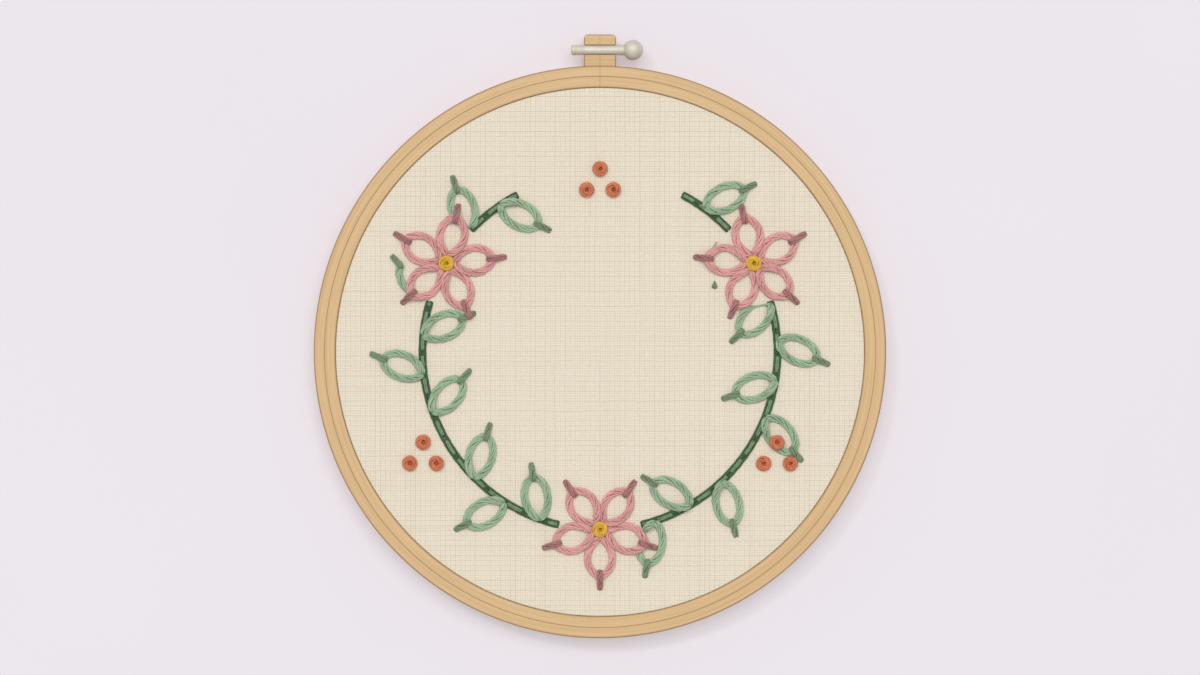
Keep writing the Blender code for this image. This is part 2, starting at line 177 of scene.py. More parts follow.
def skin(name, rows, around=True, closed=False, ends=False):
    """A mesh over rows of points: each row a loop if around, the rows joined round if closed."""
    rows = np.asarray(rows, dtype=float)
    count, width = rows.shape[:2]
    index = np.arange(count * width).reshape(count, width)
    beside = np.roll(index, -1, axis=1) if around else index
    after = np.roll(index, -1, axis=0)
    last_row = count if closed else count - 1
    last_column = width if around else width - 1
    here, there = index[:last_row, :last_column], after[:last_row, :last_column]
    if around:
        here_next, there_next = beside[:last_row], np.roll(after, -1, axis=1)[:last_row]
    else:
        here_next, there_next = index[:last_row, 1:], after[:last_row, 1:]
    faces = np.stack((here, here_next, there_next, there), axis=-1).reshape(-1, 4).tolist()
    if ends:
        faces += [index[0, ::-1].tolist(), index[-1].tolist()]
    mesh = bpy.data.meshes.new(name)
    mesh.from_pydata(rows.reshape(-1, 3).tolist(), [], faces)
    return mesh


def outward(mesh):
    """Turn every face outward, and shade the mesh smooth up to its hard edges."""
    shape = bmesh.new()
    shape.from_mesh(mesh)
    bmesh.ops.recalc_face_normals(shape, faces=shape.faces)
    shape.to_mesh(mesh)
    shape.free()
    mesh.shade_smooth()
    mesh.set_sharp_from_angle(angle=radians(50.0))
    return mesh


def set_down(name, mesh, material, slot, *nodes):
    """Put a finished piece in the scene, riding on the model, in place of the nodes that it stands for."""
    piece = bpy.data.objects.new(name, mesh)
    bpy.context.scene.collection.objects.link(piece)
    mesh.materials.clear()
    mesh.materials.append(material)
    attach(piece, "root")
    if nodes:
        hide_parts(*nodes)
    return piece


def bent_round(section, angles, pinch=None, lean=None):
    """Rows of points for a strip's section carried round the hoop, some of them pinched or leaning."""
    middle = np.mean(section, axis=0)
    rows = []
    for number, angle in enumerate(angles):
        row = []
        for radius, height in section:
            if pinch and pinch[number]:
                radius -= pinch[number] * np.sign(radius - middle[0])
                height -= pinch[number] * np.sign(height - middle[1])
            turn = radians(angle + (lean[number] * (height - middle[1]) if lean else 0.0))
            row.append((HOOP_MIDDLE.x - radius * sin(turn), HOOP_MIDDLE.y + radius * cos(turn), height))
        rows.append(row)
    return rows


inner_section = strip_section(
    INNER_RADIUS - INNER_WIDTH, INNER_RADIUS, INNER_LOW.z, INNER_HIGH.z, [INNER_EDGE] * 4)
inner_angles = [360.0 * step / ROUND_STEPS for step in range(ROUND_STEPS)]
inner_angles += [SCARF_ANGLE - SCARF_GAP, SCARF_ANGLE, SCARF_ANGLE + SCARF_GAP]
inner_angles.sort()
inner_pinch = [SCARF_GROOVE if angle == SCARF_ANGLE else 0.0 for angle in inner_angles]
inner_lean = [SCARF_LEAN * max(0.0, 1 - abs(angle - SCARF_ANGLE) / SCARF_REACH) for angle in inner_angles]
# Painted shade along both edges of the inner hoop's back face.
inner_edge_shade = [("round", INNER_RADIUS - INNER_WIDTH, 0.5 * MM, 0.5), ("round", INNER_RADIUS, 0.5 * MM, 0.5)]
inner_wood = beech("inner_hoop_beech", INNER_LOW.z, inner_edge_shade)
inner_rows = bent_round(inner_section, inner_angles, inner_pinch, inner_lean)
inner_mesh = outward(skin("inner_hoop_strip", inner_rows, closed=True))
set_down("inner_hoop_strip", inner_mesh, inner_wood, "wood", "inner_hoop")

# Linen
# A round of natural linen, stretched over the inner hoop and pressed down inside the outer one.
# Its skirt is gathered a little by the turn, and the raw edge is trimmed just short of the back.
CLOTH_LOW, CLOTH_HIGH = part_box("cloth")
LINEN_FRONT = CLOTH_HIGH.z
LINEN_THICKNESS = 0.45 * MM
LINEN_BACK = LINEN_FRONT - LINEN_THICKNESS
LINEN_REACH = (CLOTH_HIGH.x - CLOTH_LOW.x) / 2 + 0.25 * MM
LINEN_ROUND = 0.35 * MM
LINEN_HEM = CLOTH_LOW.z
GATHERS = 58
GATHER_DEPTH = 0.38 * MM
RAGGED_HEM = 0.25 * MM
HEM_STRIP = 0.1 * MM
SLACK = 0.05 * MM
YARN_PITCH = 0.68 * MM
YARN_WAVER = 0.35 * MM
YARN_RELIEF = 0.13 * MM
SLUBS_ALONG, SLUBS_ACROSS = 9.0, 760.0
FIBRES_ALONG, FIBRES_ACROSS = 520.0, 5200.0
LINEN_PALE = (241, 230, 211)
# Painted shade for the gaps between the yarns and between their fibres.
LINEN_GAP_SHADE = (196, 183, 155)
LINEN_SLUB = (236, 224, 202)


def linen_line(inset):
    """The linen's section at an inset from its outer face, from the middle out and down the skirt."""
    face = [(radius * MM, LINEN_FRONT - inset) for radius in np.arange(1.5, 69.0, 1.5)]
    rim = []
    for step in range(6):
        angle = radians(90.0 * step / 5)
        bend = LINEN_ROUND - inset
        radius = LINEN_REACH - LINEN_ROUND + bend * sin(angle)
        rim.append((radius, LINEN_FRONT - LINEN_ROUND + bend * cos(angle)))
    drop = np.linspace(LINEN_FRONT - LINEN_ROUND, LINEN_HEM, 8)[1:]
    return face + rim + [(LINEN_REACH - inset, height) for height in drop]


def slack(x, y):
    """How far the taut face rises or falls at a point, a little everywhere."""
    return SLACK * (noise.noise((x * 60, y * 60, 3.1)) + 0.5 * noise.noise((x * 160, y * 160, 7.7)))


def linen_rows():
    """Rows of points over the linen's front, round its hem, and back to the middle of its underside."""
    rows = []
    lines = (linen_line(0.0), linen_line(LINEN_THICKNESS)[::-1])
    for line in lines:
        for radius, height in line:
            row = []
            for step in range(ROUND_STEPS):
                angle = 2 * pi * step / ROUND_STEPS
                depth = (LINEN_FRONT - height - LINEN_ROUND) / (LINEN_FRONT - LINEN_ROUND - LINEN_HEM)
                gather = GATHER_DEPTH * max(0.0, depth) * (
                    1 + sin(GATHERS * angle + 1.4 * sin(3 * angle) + 2.0 * cos(7 * angle)))
                reach = radius - gather
                x, y = -reach * sin(angle), reach * cos(angle)
                lift = slack(x, y) * max(0.0, 1 - (radius / (LINEN_REACH - LINEN_ROUND)) ** 6)
                if height < LINEN_HEM + HEM_STRIP:
                    lift += RAGGED_HEM * noise.noise((angle * 40, 0.0, 5.0))
                row.append((HOOP_MIDDLE.x + x, HOOP_MIDDLE.y + y, height + lift))
            rows.append(row)
    return rows


def plain_weave():
    """Natural linen in plain weave: every other gap between its yarns is open, and each yarn is uneven."""
    material, tree, shader = finish("natural_linen", 0.92, Specular_IOR_Level=0.15, Sheen_Weight=0.12)
    place = wire(tree, "TexCoord", out="Object")
    waver = wire(tree, "TexNoise", place, None, 70.0, 1.0, 0.5, out="Color")
    waver = wire(tree, "VectorMath", waver, (0.5, 0.5, 0.5), operation="SUBTRACT")
    waver = wire(tree, "VectorMath", waver, (YARN_WAVER, YARN_WAVER, 0.0), operation="MULTIPLY")
    woven = wire(tree, "VectorMath", place, waver, operation="ADD")
    waves, ridges, rounded, gaps, yarns, fibres = [], [], [], [], [], []
    for axis, slubs, fibre_streaks in (
            ("X", (SLUBS_ACROSS, SLUBS_ALONG, 0.0), (FIBRES_ACROSS, FIBRES_ALONG, 0.0)),
            ("Y", (SLUBS_ALONG, SLUBS_ACROSS, 0.0), (FIBRES_ALONG, FIBRES_ACROSS, 0.0))):
        turn = wire(tree, "SeparateXYZ", woven, out=axis)
        turn = wire(tree, "Math", turn, pi / YARN_PITCH, operation="MULTIPLY")
        wave = wire(tree, "Math", turn, operation="SINE")
        ridge = wire(tree, "Math", wave, operation="ABSOLUTE")
        yarn = wire(tree, "VectorMath", woven, slubs, operation="MULTIPLY")
        yarn = wire(tree, "TexNoise", yarn, None, 1.0, 3.0, 0.6)
        fibre = wire(tree, "VectorMath", woven, fibre_streaks, operation="MULTIPLY")
        fibre = wire(tree, "TexNoise", fibre, None, 1.0, 3.0, 0.65)
        gap = wire(tree, "MapRange", ridge, 0.0, 0.5, 1.0, 0.0, interpolation_type="SMOOTHSTEP")
        every_other = wire(tree, "Math", turn, operation="COSINE")
        every_other = wire(tree, "MapRange", every_other, -1.0, 1.0, 0.2, 0.9)
        opened = wire(tree, "MapRange", yarn, 0.36, 0.62, 0.4, 1.0)
        opened = wire(tree, "Math", every_other, opened, operation="MULTIPLY")
        waves.append(wave)
        ridges.append(ridge)
        rounded.append(wire(tree, "Math", ridge, 0.4, operation="POWER"))
        gaps.append(wire(tree, "Math", gap, opened, operation="MULTIPLY"))
        yarns.append(yarn)
        fibres.append(fibre)
    warp_over = wire(tree, "Math", *waves, operation="MULTIPLY")
    warp_over = wire(tree, "Math", warp_over, 0.0, operation="GREATER_THAN")
    warp = wire(tree, "Math", ridges[0], rounded[1], operation="MULTIPLY")
    weft = wire(tree, "Math", ridges[1], rounded[0], operation="MULTIPLY")
    swell = wire(tree, "Mix", warp_over, None, weft, warp)
    streak = wire(tree, "Mix", warp_over, None, fibres[1], fibres[0])
    slub = wire(tree, "MapRange", wire(tree, "Math", *yarns, operation="MAXIMUM"), 0.52, 0.75, 0.0, 0.8)
    # Painted shade: the colour darkens between fibre streaks and in the open gaps between yarns.
    fibre_shade = wire(tree, "MapRange", streak, 0.35, 0.6, 0.24, 0.0)
    tint = wire(tree, "MixRGB", slub, paint(LINEN_PALE), paint(LINEN_SLUB))
    tint = wire(tree, "MixRGB", fibre_shade, tint, paint(LINEN_GAP_SHADE))
    tint = wire(tree, "MixRGB", wire(tree, "Math", *gaps, operation="MAXIMUM"), tint, paint(LINEN_GAP_SHADE))
    colour_by(tree, shader, tint)
    streak = wire(tree, "Math", streak, 0.5, operation="MULTIPLY")
    relief(tree, shader, wire(tree, "Math", swell, streak, operation="ADD"), YARN_RELIEF, 0.75)
    return material


linen_mesh = skin("linen_ground", linen_rows())
linen = bmesh.new()
linen.from_mesh(linen_mesh)
linen.verts.ensure_lookup_table()
for ring in (linen.verts[:ROUND_STEPS], linen.verts[-ROUND_STEPS:]):
    hub = linen.verts.new(sum((corner.co for corner in ring), Vector()) / ROUND_STEPS)
    for here, there in zip(ring, [*ring[1:], ring[0]]):
        linen.faces.new((here, there, hub))
linen.to_mesh(linen_mesh)
linen.free()
linen_ground = set_down("linen_ground", outward(linen_mesh), plain_weave(), "linen", "cloth")

# Outer hoop
# Two plies of beech glued into a ring, split at the top, with a lug glued on at each side of the split.
# The lugs are drilled across for the screw, close enough to the front for the bore to break through.
OUTER_LOW, OUTER_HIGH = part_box("outer_hoop")
OUTER_RADIUS = (OUTER_HIGH.x - OUTER_LOW.x) / 2
OUTER_WIDTH = 5.9 * MM
OUTER_EDGES = [0.45 * MM, 0.3 * MM, 0.5 * MM, 0.6 * MM]
OUTER_FRONT = 9.0 * MM
PLY_RADIUS = 75.07 * MM
PLY_GROOVE_WIDTH = 0.2 * MM
PLY_GROOVE_DEPTH = 0.14 * MM
SPLIT_WIDTH = 0.02 * MM
SPLIT_EDGE = 0.08 * MM
LUG_HALF_WIDTH = 4.37 * MM
LUG_BACK = 1.0 * MM
LUG_FRONT = 8.0 * MM
LUG_CORNER = 1.1 * MM
LUG_EDGE = 0.3 * MM
SCREW_LOW, SCREW_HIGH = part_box("screw")
KNOB_RADIUS = (SCREW_HIGH.y - SCREW_LOW.y) / 2
SCREW_MIDDLE = (SCREW_LOW + SCREW_HIGH) / 2
SCREW_RADIUS = 1.43 * MM
BORE_RADIUS = SCREW_RADIUS + 0.3 * MM
BORE_PAST_LUG = 2.0 * MM
BORE_STEPS = 48
LUG_IN_RING = 0.4 * MM


def outer_section():
    """The outer ring's section, with the fine groove where the plies meet at the front."""
    points = strip_section(OUTER_RADIUS - OUTER_WIDTH, OUTER_RADIUS, 0.0, OUTER_FRONT, OUTER_EDGES)
    groove = [
        (PLY_RADIUS + PLY_GROOVE_WIDTH / 2, OUTER_FRONT),
        (PLY_RADIUS, OUTER_FRONT - PLY_GROOVE_DEPTH),
        (PLY_RADIUS - PLY_GROOVE_WIDTH / 2, OUTER_FRONT),
    ]
    return points[:6] + groove + points[6:]


def lug_mesh(side):
    """One lug: a small block with a rounded top corner, its edges eased and its foot in the ring."""
    foot = HOOP_MIDDLE.y + OUTER_RADIUS - LUG_IN_RING
    near_x, far_x, top = SPLIT_WIDTH / 2, LUG_HALF_WIDTH, OUTER_HIGH.y
    outline = [(near_x, foot), (far_x, foot)]
    for step in range(7):
        angle = radians(90.0 * step / 6)
        outline.append((far_x - LUG_CORNER * (1 - cos(angle)), top - LUG_CORNER * (1 - sin(angle))))
    outline.append((near_x, top))
    shape = bmesh.new()
    face = shape.faces.new([shape.verts.new((side * x, y, LUG_BACK)) for x, y in outline])
    grown = bmesh.ops.extrude_face_region(shape, geom=[face])
    raised = [part for part in grown["geom"] if isinstance(part, bmesh.types.BMVert)]
    bmesh.ops.translate(shape, verts=raised, vec=(0.0, 0.0, LUG_FRONT - LUG_BACK))
    bmesh.ops.recalc_face_normals(shape, faces=shape.faces)
    sharp = [edge for edge in shape.edges if edge.calc_face_angle() > radians(60.0)]
    split_rims = [edge for edge in sharp if all(abs(corner.co.x) < LUG_EDGE for corner in edge.verts)]
    other_rims = [edge for edge in sharp if edge not in split_rims]
    bmesh.ops.bevel(shape, geom=other_rims, offset=LUG_EDGE, segments=3, profile=0.5, affect="EDGES")
    mesh = bpy.data.meshes.new("lug")
    shape.to_mesh(mesh)
    shape.free()
    return mesh


def drilled(piece, bore):
    """Cut the bore through a piece, and keep the result as its mesh."""
    cut = piece.modifiers.new("Bore", "BOOLEAN")
    cut.solver = "EXACT"
    cut.object = bore
    graph = bpy.context.evaluated_depsgraph_get()
    mesh = bpy.data.meshes.new_from_object(piece.evaluated_get(graph))
    piece.modifiers.clear()
    piece.data = outward(mesh)


split_reaches = np.cumsum([SPLIT_WIDTH / 2, SPLIT_EDGE, FLAT_BESIDE_EDGE])
split_angles = np.degrees(split_reaches / OUTER_RADIUS).tolist()
outer_angles = split_angles + [360.0 * step / ROUND_STEPS for step in range(1, ROUND_STEPS)]
outer_angles += [360.0 - angle for angle in reversed(split_angles)]
outer_pinch = [0.0] * len(outer_angles)
outer_pinch[0] = outer_pinch[-1] = SPLIT_EDGE
# Painted shade along the outer ring's rounded rim, its ply groove and its bore beside the linen.
outer_edge_shade = [
    ("round", OUTER_RADIUS, 0.6 * MM, 1.0),
    ("round", PLY_RADIUS, 0.25 * MM, 0.4),
    ("round", OUTER_RADIUS - OUTER_WIDTH, 0.5 * MM, 0.6),
]
# Painted shade along the lugs' side edges, their split and their top.
lug_edge_shade = [
    ("across", LUG_HALF_WIDTH, 0.5 * MM, 0.9),
    ("across", 0.0, 0.2 * MM, 0.5),
    ("along", OUTER_HIGH.y, 0.5 * MM, 0.9),
]
outer_wood = beech("outer_hoop_beech", OUTER_FRONT, outer_edge_shade)
lug_wood = beech("lug_beech", LUG_FRONT, lug_edge_shade)
outer_rows = bent_round(outer_section(), outer_angles, outer_pinch)
outer_mesh = outward(skin("outer_hoop_ring", outer_rows, ends=True))
set_down("outer_hoop_ring", outer_mesh, outer_wood, "wood", "outer_hoop")

bore_rows = []
for reach in (-LUG_HALF_WIDTH - BORE_PAST_LUG, LUG_HALF_WIDTH + BORE_PAST_LUG):
    ring = []
    for step in range(BORE_STEPS):
        turn = 2 * pi * step / BORE_STEPS
        y, z = BORE_RADIUS * cos(turn), BORE_RADIUS * sin(turn)
        ring.append((reach, SCREW_MIDDLE.y + y, SCREW_MIDDLE.z + z))
    bore_rows.append(ring)
bore = bpy.data.objects.new("bore", outward(skin("bore", bore_rows, ends=True)))
bpy.context.scene.collection.objects.link(bore)
for name, side in (("lug_left", -1), ("lug_right", 1)):
    lug = set_down(name, lug_mesh(side), lug_wood, "wood", "outer_hoop")
    drilled(lug, bore)
    lug.data.materials.clear()
    lug.data.materials.append(lug_wood)
bpy.data.objects.remove(bore)

# Screw
# A nickel-plated brass bar with a ball knob, turned in one piece, its far end threaded.
# It runs across through both lugs, and tightening it draws the split together round the linen.
SCREW_END_X = SCREW_LOW.x
KNOB_X = SCREW_HIGH.x - KNOB_RADIUS
SCREW_CHAMFER = 0.5 * MM
SCREW_POLE = 0.02 * MM
NECK_BEFORE_KNOB = (0.3 * MM, 0.1 * MM)
NECK_GROOVE = 0.08 * MM
TURNING_MARKS = 0.01 * MM
THREADED_LENGTH = 3.4 * MM
THREAD_PITCH = 0.5 * MM
THREAD_DEPTH = 0.1 * MM
NICKEL = (220, 213, 199)
NICKEL_DULLED = (186, 176, 158)


def satin_nickel():
    """Satin nickel plate, a little warm, with fine turning marks round the bar."""
    material, tree, shader = finish("satin_nickel", 0.6, Metallic=0.45)
    place = wire(tree, "TexCoord", out="Object")
    rings = wire(tree, "VectorMath", place, (9000.0, 60.0, 60.0), operation="MULTIPLY")
    marks = wire(tree, "TexNoise", rings, None, 1.0, 3.0, 0.6)
    cloud = wire(tree, "TexNoise", place, None, 450.0, 3.0, 0.5)
    dulled = wire(tree, "MapRange", cloud, 0.35, 0.75, 0.0, 0.35)
    colour_by(tree, shader, wire(tree, "MixRGB", dulled, paint(NICKEL), paint(NICKEL_DULLED)))
    relief(tree, shader, marks, TURNING_MARKS, 0.5)
    return material


def screw_rows():
    """Rings of points along the screw: a soft end, the thread, the plain bar, and the ball knob."""
    stations = [(SCREW_END_X, SCREW_POLE, 0.0), (SCREW_END_X, SCREW_RADIUS - SCREW_CHAMFER, 0.0)]
    for step in range(1, 5):
        angle = radians(90.0 * step / 4)
        stations.append((SCREW_END_X + SCREW_CHAMFER * (1 - cos(angle)),
                         SCREW_RADIUS - SCREW_CHAMFER * (1 - sin(angle)), 0.0))
    thread_start = SCREW_END_X + SCREW_CHAMFER
    for step in range(1, 55):
        along = THREADED_LENGTH * step / 54
        fade = min(1.0, step / 6, (54 - step) / 8)
        stations.append((thread_start + along, SCREW_RADIUS, fade))
    reach = sqrt(KNOB_RADIUS**2 - SCREW_RADIUS**2)
    stations.append((KNOB_X - reach - NECK_BEFORE_KNOB[0], SCREW_RADIUS, 0.0))
    stations.append((KNOB_X - reach - NECK_BEFORE_KNOB[1], SCREW_RADIUS - NECK_GROOVE, 0.0))
    first = acos(-reach / KNOB_RADIUS)
    for step in range(21):
        angle = first * (1 - step / 20)
        radius = max(SCREW_POLE, KNOB_RADIUS * sin(angle))
        stations.append((KNOB_X + KNOB_RADIUS * cos(angle), radius, 0.0))
    rows = []
    for x, radius, fade in stations:
        row = []
        for step in range(BORE_STEPS):
            turn = 2 * pi * step / BORE_STEPS
            groove = THREAD_DEPTH * fade * (0.5 + 0.5 * cos(turn - 2 * pi * x / THREAD_PITCH))
            row.append((x, SCREW_MIDDLE.y + (radius - groove) * cos(turn),
                        SCREW_MIDDLE.z + (radius - groove) * sin(turn)))
        rows.append(row)
    return rows


screw_mesh = outward(skin("tightening_screw", screw_rows(), ends=True))
set_down("tightening_screw", screw_mesh, satin_nickel(), "metal", "screw")

# Stem
# Stranded cotton laid on the linen along the wreath and flattened under its own stitches.
# Each run comes up through the linen at one flower and goes down again at the next.
WREATH_RADIUS = 48.36 * MM
STEM_FIRST_ANGLE = 27.8
STEM_LAST_ANGLE = 332.2
STEM_HALF_WIDTH = 1.08 * MM
STEM_HALF_HEIGHT = 0.42 * MM
STEM_STRAND = 0.27 * MM
FLOWER_ANGLES = (60.0, 180.0, 300.0)
FLOWER_REACH = 11.45 * MM
DARK_GREEN = (66, 98, 60)
SAMPLE = 0.42 * MM
CLOSER_AT_ENDS = 0.9 * MM
FLOSS_RELIEF = 0.08 * MM
STRAND_DRIFT = 5.3 * MM
STIFFNESS = 0.5 * MM
SETTLING = 1.1 * MM
END_TAPER = 1.3 * MM
BELOW_FACE = 0.4 * MM
CELL = 0.25 * MM
CELLS = 640
laid = {"front": np.zeros((CELLS, CELLS)), "back": np.zeros((CELLS, CELLS))}
FACE = {"front": (LINEN_FRONT, 1.0), "back": (LINEN_BACK, -1.0)}


def wreath_point(radius, angle):
    """A point on the linen, by its distance from the hoop's middle and its angle from the top."""
    turn = radians(angle)
    return np.array((HOOP_MIDDLE.x - radius * sin(turn), HOOP_MIDDLE.y + radius * cos(turn)))


def cotton(name, colour, sheen=0.2, gloss=0.0):
    """Stranded cotton, softly lustrous: every strand has its own tone, and two plies twist round in it."""
    material, tree, shader = finish(
        name, 0.6 - 0.3 * gloss, Specular_IOR_Level=0.35 + 0.4 * gloss,
        Sheen_Weight=sheen, Sheen_Roughness=0.4)
    thread = wire(tree, "UVMap", uv_map="Floss")
    run = wire(tree, "SeparateXYZ", thread, out="X")
    around = wire(tree, "SeparateXYZ", thread, out="Y")
    tone_place = wire(tree, "VectorMath", thread, (0.25, 0.45, 0.0), operation="MULTIPLY")
    tone = wire(tree, "TexNoise", tone_place, None, 1.0, 1.0, 0.5)
    tone = wire(tree, "MapRange", tone, 0.3, 0.7, 0.0, 1.0)
    slope = wire(tree, "Math", run, 0.8, operation="MULTIPLY")
    spiral = wire(tree, "Math", wire(tree, "Math", around, 2.0, operation="MULTIPLY"), slope, operation="ADD")
    fibre_place = wire(tree, "CombineXYZ", wire(tree, "Math", run, 0.9, operation="MULTIPLY"),
                       wire(tree, "Math", spiral, 11.0, operation="MULTIPLY"), 0.0)
    fibre = wire(tree, "TexNoise", fibre_place, None, 1.0, 3.0, 0.65)
    lighter = tuple(min(255, part * 1.07) for part in colour)
    darker = tuple(part * 0.93 for part in colour)
    tint = wire(tree, "MixRGB", tone, paint(darker), paint(lighter))
    # Painted shade: the colour darkens where the fibre relief is low, in the grooves between fibres.
    deep = wire(tree, "MapRange", fibre, 0.32, 0.6, 0.45, 0.0)
    tint = wire(tree, "MixRGB", deep, tint, paint(tuple(part * 0.78 for part in colour)))
    colour_by(tree, shader, tint)
    ply = wire(tree, "Math", wire(tree, "Math", spiral, pi, operation="MULTIPLY"), operation="SINE")
    ply = wire(tree, "Math", ply, operation="ABSOLUTE")
    height = wire(tree, "Math", ply, wire(tree, "Math", fibre, 1.4, operation="MULTIPLY"), operation="ADD")
    relief(tree, shader, height, FLOSS_RELIEF, 0.9)
    return material


def spaced(line):
    """A line's points set out evenly, and closer together towards its two ends."""
    line = np.asarray(line, dtype=float)
    steps = np.linalg.norm(np.diff(line, axis=0), axis=1)
    reached = np.concatenate(([0.0], np.cumsum(steps)))
    whole = reached[-1]
    ends = min(CLOSER_AT_ENDS, whole / 3)
    close = ends * (1 - np.cos(np.linspace(0.0, pi / 2, 6)[:-1]))
    middle = np.linspace(ends, whole - ends, max(2, ceil((whole - 2 * ends) / SAMPLE) + 1))
    places = np.concatenate((close, middle, whole - close[::-1]))
    spots = np.stack([np.interp(places, reached, line[:, axis]) for axis in range(line.shape[1])], axis=1)
    return spots, places


def headings(spots):
    """The level direction of travel at each point of a line."""
    way = np.gradient(spots[:, :2], axis=0)
    return way / np.maximum(np.linalg.norm(way, axis=1, keepdims=True), 1e-12)


def cell(spots):
    """The grid cells under points on the linen, as row and column numbers."""
    column = np.clip(((spots[..., 0] - HOOP_MIDDLE.x) / CELL + CELLS / 2).astype(int), 0, CELLS - 1)
    row = np.clip(((spots[..., 1] - HOOP_MIDDLE.y) / CELL + CELLS / 2).astype(int), 0, CELLS - 1)
    return row, column


def resting(side, spots, places, half_width, half_height, give):
    """How high a thread lies along its line over the threads already laid on that side."""
    way = headings(spots)
    across = np.stack((-way[:, 1], way[:, 0]), axis=1)
    height = np.zeros(len(spots))
    for share in np.linspace(-0.92, 0.92, 9):
        under = half_height * (1 - sqrt(1 - share**2))
        reach = spots + across * (half_width * share)[:, None]
        height = np.maximum(height, laid[side][cell(reach)] - under)
    height *= give
    gaps = np.abs(places[:, None] - places[None, :])
    widest = np.where(gaps < STIFFNESS, height[None, :], 0.0).max(axis=1)
    weight = np.maximum(0.0, 1 - gaps / SETTLING)
    return (weight @ widest) / weight.sum(axis=1)


def press(side, spots, places, half_width, height, half_height):
    """Record a thread on the grid, so that the next ones lie over it."""
    fine = np.arange(0.0, places[-1], CELL / 2)
    line = np.stack([np.interp(fine, places, spots[:, axis]) for axis in (0, 1)], axis=1)
    way = headings(line)
    across = np.stack((-way[:, 1], way[:, 0]), axis=1)
    wide, rest = np.interp(fine, places, half_width), np.interp(fine, places, height)
    for share in np.linspace(-1.0, 1.0, 17):
        top = rest + half_height * (1 + sqrt(1 - share**2)) * np.minimum(1.0, wide / half_width.max())
        np.maximum.at(laid[side], cell(line + across * (wide * share)[:, None]), top)


def strands(name, path, wide, tall, count, radius, turns_per_metre, seed, sides=8):
    """A bundle of strands twisted along a path: wide and tall are its half sizes at each point."""
    chance = np.random.RandomState(seed)
    way = headings(path)
    level = np.stack((-way[:, 1], way[:, 0], np.zeros(len(path))), axis=1)
    ahead = np.gradient(path, axis=0)
    ahead /= np.maximum(np.linalg.norm(ahead, axis=1, keepdims=True), 1e-12)
    upright = np.cross(ahead, level)
    run = np.concatenate(([0.0], np.cumsum(np.linalg.norm(np.diff(path, axis=0), axis=1))))
    start = chance.uniform(0.0, 2 * pi)
    shrink = np.clip(wide / wide.max(), 0.45, 1.0)
    points, faces, coords = [], [], []
    ring = np.arange(sides) * 2 * pi / sides
    for strand in range(count):
        drift = 0.22 * np.sin(run / STRAND_DRIFT + chance.uniform(0, 2 * pi))
        turn = start + 2 * pi * (strand / count + run * turns_per_metre) + drift
        thick = radius * chance.uniform(0.93, 1.05) * shrink
        out = np.maximum(wide - thick, 0.0)
        up = np.maximum(tall * shrink - thick, 0.0)
        middle = path + level * (out * np.cos(turn))[:, None] + upright * (up * np.sin(turn))[:, None]
        skin_points = (middle[:, None, :]
                       + level[:, None, :] * (thick[:, None] * np.cos(ring))[..., None]
                       + upright[:, None, :] * (thick[:, None] * np.sin(ring))[..., None])
        first = strand * len(path) * sides
        index = first + np.arange(len(path) * sides).reshape(len(path), sides)
        beside = np.roll(index, -1, axis=1)
        quads = np.stack((index[:-1], beside[:-1], beside[1:], index[1:]), axis=-1).reshape(-1, 4)
        points.append(skin_points.reshape(-1, 3))
        faces += quads.tolist() + [index[0, ::-1].tolist(), index[-1].tolist()]
        u = run / MM + 37.0 * strand
        v = strand * 3.0 + np.arange(sides + 1) / sides
        low, high = np.meshgrid(u[:-1], v[:-1], indexing="ij"), np.meshgrid(u[1:], v[1:], indexing="ij")
        corners = np.stack((np.stack((low[0], low[1]), -1), np.stack((low[0], high[1]), -1),
                            np.stack((high[0], high[1]), -1), np.stack((high[0], low[1]), -1)), axis=2)
        coords.append(corners.reshape(-1, 2))
        coords.append(np.tile((u[0], v[0]), (2 * sides, 1)))
    mesh = bpy.data.meshes.new(name)
    mesh.from_pydata(np.concatenate(points).tolist(), [], faces)
    layer = mesh.uv_layers.new(name="Floss")
    layer.data.foreach_set("uv", np.concatenate(coords).astype(np.float32).ravel())
    mesh.shade_smooth()
    return mesh


stitches_made = 0


def stitch(name, line, material, slot, nodes=(), *, half_width, side="front", half_height=0.58 * MM,
           count=6, strand=0.33 * MM, twist=85.0, bend=0.8 * MM, narrow=0.62, give=0.85, widths=None,
           sink=0.0):
    """Lay one thread along a line on the linen, over what lies there, with its ends down in their holes."""
    global stitches_made
    stitches_made += 1
    spots, places = spaced(line)
    whole = places[-1]
    share = np.ones(len(places)) if widths is None else np.interp(places, *widths)
    from_end = np.minimum(places, whole - places)
    taper = np.clip(from_end / END_TAPER, 0.0, 1.0)
    wide = half_width * share * (narrow + (1 - narrow) * taper * (2 - taper))
    tall = half_height * np.clip(share, 0.6, 1.0)
    rest = resting(side, spots, places, wide, half_height, give) - sink
    down = np.clip(1 - from_end / bend, 0.0, 1.0)
    dive = (1 - np.sqrt(1 - down**2)) * (rest + half_height + BELOW_FACE)
    surface, up = FACE[side]
    heights = surface + up * (rest + tall - dive)
    path = np.column_stack((spots, heights))
    mesh = strands(name, path, wide, tall, count, strand, twist, 1000 + stitches_made)
    press(side, spots, places, wide, np.maximum(rest - dive, 0.0), half_height)
    return set_down(name, mesh, material, slot, *nodes)


